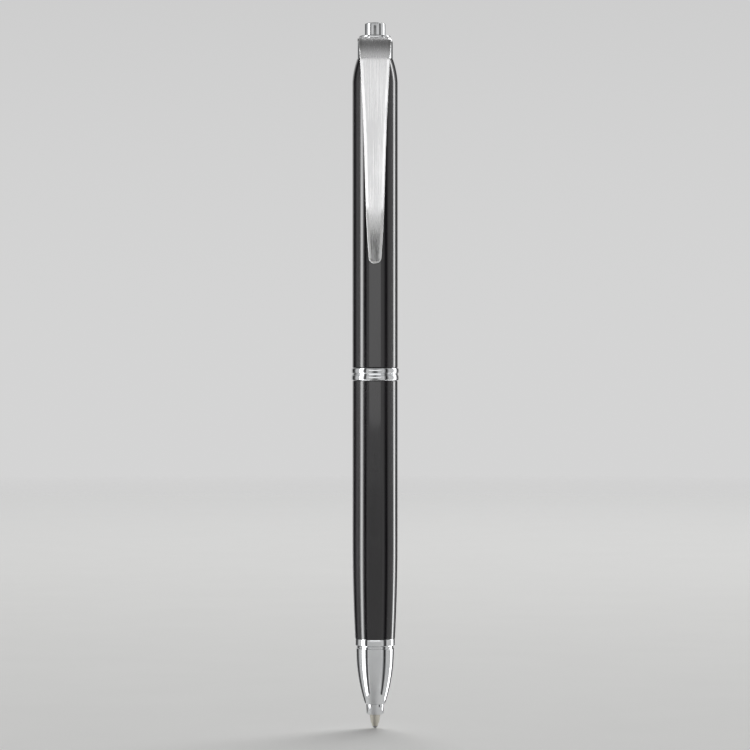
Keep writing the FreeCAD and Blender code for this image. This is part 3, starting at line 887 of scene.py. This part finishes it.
def sky():
    """Plain grey surroundings, brightest at the horizon and darker overhead."""
    world = bpy.data.worlds.new("studio_world")
    world.use_nodes = True
    nodes, links = world.node_tree.nodes, world.node_tree.links
    split = nodes.new("ShaderNodeSeparateXYZ")
    links.new(nodes.new("ShaderNodeTexCoord").outputs["Generated"], split.inputs[0])
    ramp = nodes.new("ShaderNodeValToRGB")
    ramp.color_ramp.interpolation = "EASE"
    for i, (height, level) in enumerate(SKY):
        stop = ramp.color_ramp.elements[i] if i < 2 else ramp.color_ramp.elements.new(height)
        stop.position = height
        stop.color = (level, level, level, 1)
    links.new(split.outputs["Z"], ramp.inputs["Fac"])
    links.new(ramp.outputs["Color"], nodes["Background"].inputs["Color"])
    bpy.context.scene.world = world


def floor():
    """A pale disc that fades into the surroundings, so that no edge or horizon line shows."""
    edge, steps = 1.8, 96
    fade_from, fade_to = 0.35, 1.5
    rim = [around(360 * k / steps, edge, FLOOR_Z) / MM for k in range(steps)]
    faces = [[0, 1 + k, 1 + (k + 1) % steps] for k in range(steps)]
    piece = new_piece("studio_floor", [Vector((0, 0, FLOOR_Z)) / MM, *rim], faces)
    f = Finish("studio_pale", (0.78, 0.78, 0.77), 0.0, 0.75)
    f.shader.inputs["Specular IOR Level"].default_value = 0.0
    grain = f.noise(f.stretched((40, 40, 40)), detail=3)
    f.feed("Base Color", f.mixed(grain, (0.8, 0.8, 0.79), (0.83, 0.83, 0.82)))
    distance = f.nodes.new("ShaderNodeVectorMath")
    distance.operation = "LENGTH"
    f.links.new(f.place, distance.inputs[0])
    f.feed("Alpha", f.spread(distance.outputs["Value"], fade_from, fade_to, 1, 0))
    piece.data.materials.append(f.material)


def softbox(name, foot, head, width, radiance):
    """An unseen soft light, width across, from its foot to its head and facing the pen."""
    rise = head - foot
    light = bpy.data.lights.new(name, "AREA")
    light.shape = "RECTANGLE"
    light.size, light.size_y = width, rise.length
    light.energy = radiance * math.pi * width * rise.length
    lamp = bpy.data.objects.new(name, light)
    bpy.context.scene.collection.objects.link(lamp)
    across = rise.cross(Vector((foot.x, foot.y, 0))).normalized()
    up = rise.normalized()
    facing = Matrix((across, up, across.cross(up))).transposed().to_4x4()
    lamp.matrix_world = Matrix.Translation((foot + head) / 2) @ facing
    lamp.visible_camera = False
    return lamp


def card_finish():
    """Matt black that glows by as much as the mesh's glow attribute says."""
    f = Finish("studio_card", (0.01, 0.01, 0.01), 0.0, 0.9)
    glow = f.nodes.new("ShaderNodeAttribute")
    glow.attribute_name = "glow"
    f.shader.inputs["Specular IOR Level"].default_value = 0.0
    f.shader.inputs["Emission Color"].default_value = (1, 1, 1, 1)
    f.feed("Emission Strength", glow.outputs["Fac"])
    return f.material


CARD = card_finish()


def card(name, left_edge, right_edge, levels):
    """A card that only reflections see. levels is its glow at even steps from one end to the other."""
    last = len(levels) - 1
    vertices = []
    for k in range(last + 1):
        vertices += [low.lerp(high, k / last) / MM for low, high in zip(left_edge, right_edge)]
    piece = new_piece(name, vertices, [[2 * k, 2 * k + 2, 2 * k + 3, 2 * k + 1] for k in range(last)])
    glow = piece.data.attributes.new("glow", "FLOAT", "POINT")
    for k, level in enumerate(levels):
        glow.data[2 * k].value = glow.data[2 * k + 1].value = level
    piece.data.materials.append(CARD)
    piece.visible_camera = False
    piece.visible_diffuse = False
    piece.visible_shadow = False


def sector(name, middle, half_width, glow):
    """A card leaning out from beside the pen's tip. At its sides its glow blends into the horizon's."""
    near, far, top = 0.012, 0.75, 0.6
    foot = FLOOR_Z + 0.0008
    steps = 16
    levels = [HORIZON + (glow - HORIZON) * math.sin(math.pi * k / steps) ** 2 for k in range(steps + 1)]
    left_edge, right_edge = [
        [around(azimuth, near, foot), around(azimuth, far, top)]
        for azimuth in (middle - half_width, middle + half_width)
    ]
    card(name, left_edge, right_edge, levels)


def button_card():
    """A dark card high in front, which gives the button its dark middle."""
    spread, reach, low, high = 33, 0.66, 0.122, 0.178
    steps = 12
    left_edge, right_edge = [
        [around(azimuth, reach, low), around(azimuth, reach, high)]
        for azimuth in (-spread, spread)
    ]
    levels = [HORIZON * abs(math.cos(math.pi * k / steps)) for k in range(steps + 1)]
    card("button_card", left_edge, right_edge, levels)


def tip_card():
    """A dark card low in front, edge-on to the camera, which darkens the clip's bent tip."""
    half_width = 0.03
    near, far = Vector((0, -0.055, -0.0187)), Vector((0, -0.128, -0.0209))
    left_edge, right_edge = [
        [Vector((x, near.y, near.z)), Vector((x, far.y, far.z))]
        for x in (-half_width, half_width)
    ]
    card("tip_card", left_edge, right_edge, [HORIZON, 0.2, 0, 0, 0.2, HORIZON])


def studio():
    sky()
    floor()
    softbox("front_bank", around(0, 0.7, -0.02), around(0, 0.7, 0.094), 0.8, 0.74)
    lamp = softbox("floor_light", around(165, 1.3, 1.1), around(165, 0.7, 1.9), 1.4, 3.6)
    lamp.visible_glossy = False
    softbox("key_light", around(160, 1.2, 0.9), around(160, 0.8, 1.3), 0.5, 2.2)
    for name, middle, half_width, glow in SECTORS:
        sector(name, middle, half_width, glow)
    button_card()
    tip_card()


def camera():
    low, high = CAD_BOUNDS
    centre = (low + high) / 2
    half_height = (high.z - low.z) / 2 * MARGIN
    distance = half_height / (SENSOR / 2 / LENS)
    data = bpy.data.cameras.new("camera")
    data.lens = LENS
    data.sensor_width = SENSOR
    data.clip_start, data.clip_end = 0.01, 10.0
    body = bpy.data.objects.new("camera", data)
    bpy.context.scene.collection.objects.link(body)
    body.location = (0, centre.y - distance, centre.z)
    body.rotation_euler = (math.pi / 2, 0, 0)
    bpy.context.scene.camera = body


studio()
camera()
bpy.context.scene.view_settings.view_transform = "Standard"
